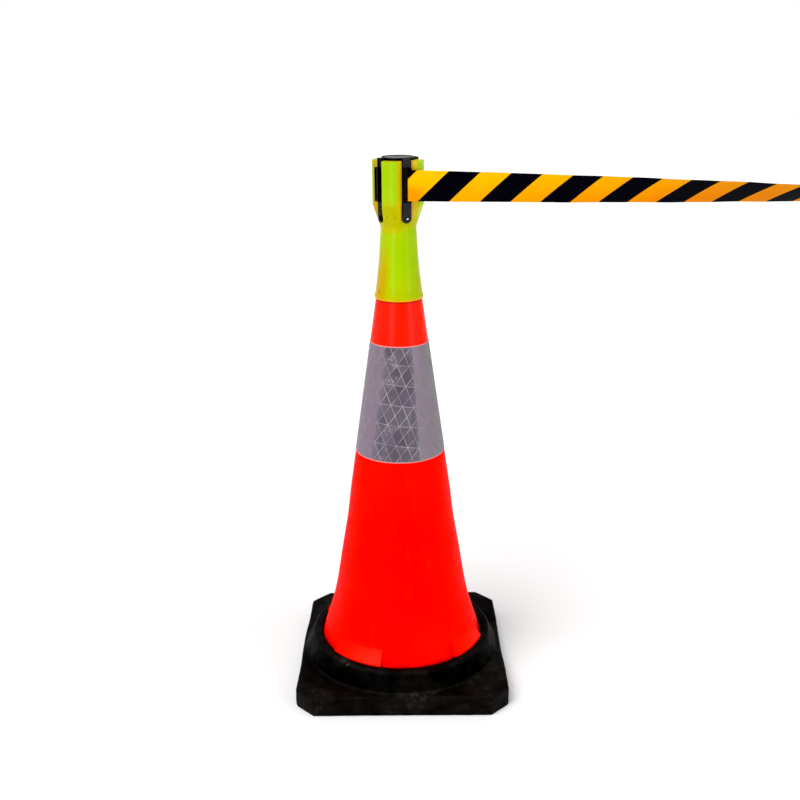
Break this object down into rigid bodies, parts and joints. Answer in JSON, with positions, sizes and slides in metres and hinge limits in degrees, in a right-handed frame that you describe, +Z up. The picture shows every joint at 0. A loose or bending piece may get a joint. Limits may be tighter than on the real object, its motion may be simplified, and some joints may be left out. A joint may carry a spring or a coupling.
{
  "type": "cone topper belt barrier",
  "caption": "Rubber-based traffic cone with a reflective collar and a lift-off, turning head that holds a retractable striped belt and receiver slots for further belts.",
  "frame": {"origin": "on the floor in the middle of the rubber base, on the cone's axis", "axes": "+Z up along the cone's axis; X and Y square to the base's sides; -Y is the side the picture was taken from and the belt runs off towards +X"},
  "size_m": [0.9121, 0.36, 0.9058],
  "materials": {
    "base_rubber": "matte moulded recycled rubber",
    "cone_pvc": "soft satin PVC, red-orange",
    "reflective_sheet": "prismatic reflective sheeting with a triangular seal pattern",
    "seat_rubber": "soft rubber",
    "lime_plastic": "semi-gloss lime moulding",
    "black_plastic": "satin black moulding",
    "cap_plastic": "glossier black moulding",
    "clip_plastic": "satin black moulding",
    "steel": "zinc plated",
    "spring_steel": "blued spring steel",
    "nylon": "natural nylon",
    "belt_webbing": "woven polyester, yellow-orange with black diagonal bands"
  },
  "bodies": {
    "stand": {"rubber_base": "base_rubber", "cone_body": "cone_pvc", "reflective_collar": "reflective_sheet"},
    "seat": {"seat_ring": "seat_rubber"},
    "topper": {"topper_housing": "lime_plastic", "cassette_frame": "black_plastic", "cassette_can": "black_plastic", "top_cap": "cap_plastic", "belt_mouth": "black_plastic", "receiver_right": "black_plastic", "receiver_rear": "black_plastic", "receiver_left": "black_plastic", "arm_screws": "steel", "can_screws": "steel", "spindle": "steel", "spring_arbor": "nylon", "mainspring": "spring_steel", "thrust_washer": "nylon", "spindle_clip": "spring_steel", "belt_lead": "belt_webbing", "belt_run": "belt_webbing"},
    "spool": {"spool_hub": "nylon", "spool_flange_lower": "nylon", "spool_flange_upper": "nylon", "spring_cup": "nylon", "bush_lower": "nylon", "bush_upper": "nylon", "belt_roll": "belt_webbing"},
    "belt_end": {"clip_body": "clip_plastic", "clip_clamp": "steel", "clip_rivets": "steel"}
  },
  "joints": [
    {"name": "topper_lift", "type": "slide", "parent": "stand", "child": "seat", "axis": [0, 0, 1], "range_m": [0, 0.1]},
    {"name": "topper_turn", "type": "hinge", "parent": "seat", "child": "topper", "pos_m": [0, 0, 0.751], "axis": [0, 0, 1], "continuous": true},
    {"name": "belt_pull", "type": "slide", "parent": "topper", "child": "belt_end", "axis": [0.9778, 0.2034, -0.0501], "range_m": [-0.6628, 0], "deforming": ["belt_run"]},
    {"name": "spool_spin", "type": "hinge", "parent": "topper", "child": "spool", "pos_m": [0, 0, 0.864], "axis": [0, 0, 1], "range_deg": [-2100, 0], "deforming": ["mainspring"]}
  ],
  "couplings": [
    {"joint": "spool_spin", "follows": "belt_pull", "rad_per_m": 55.2}
  ]
}
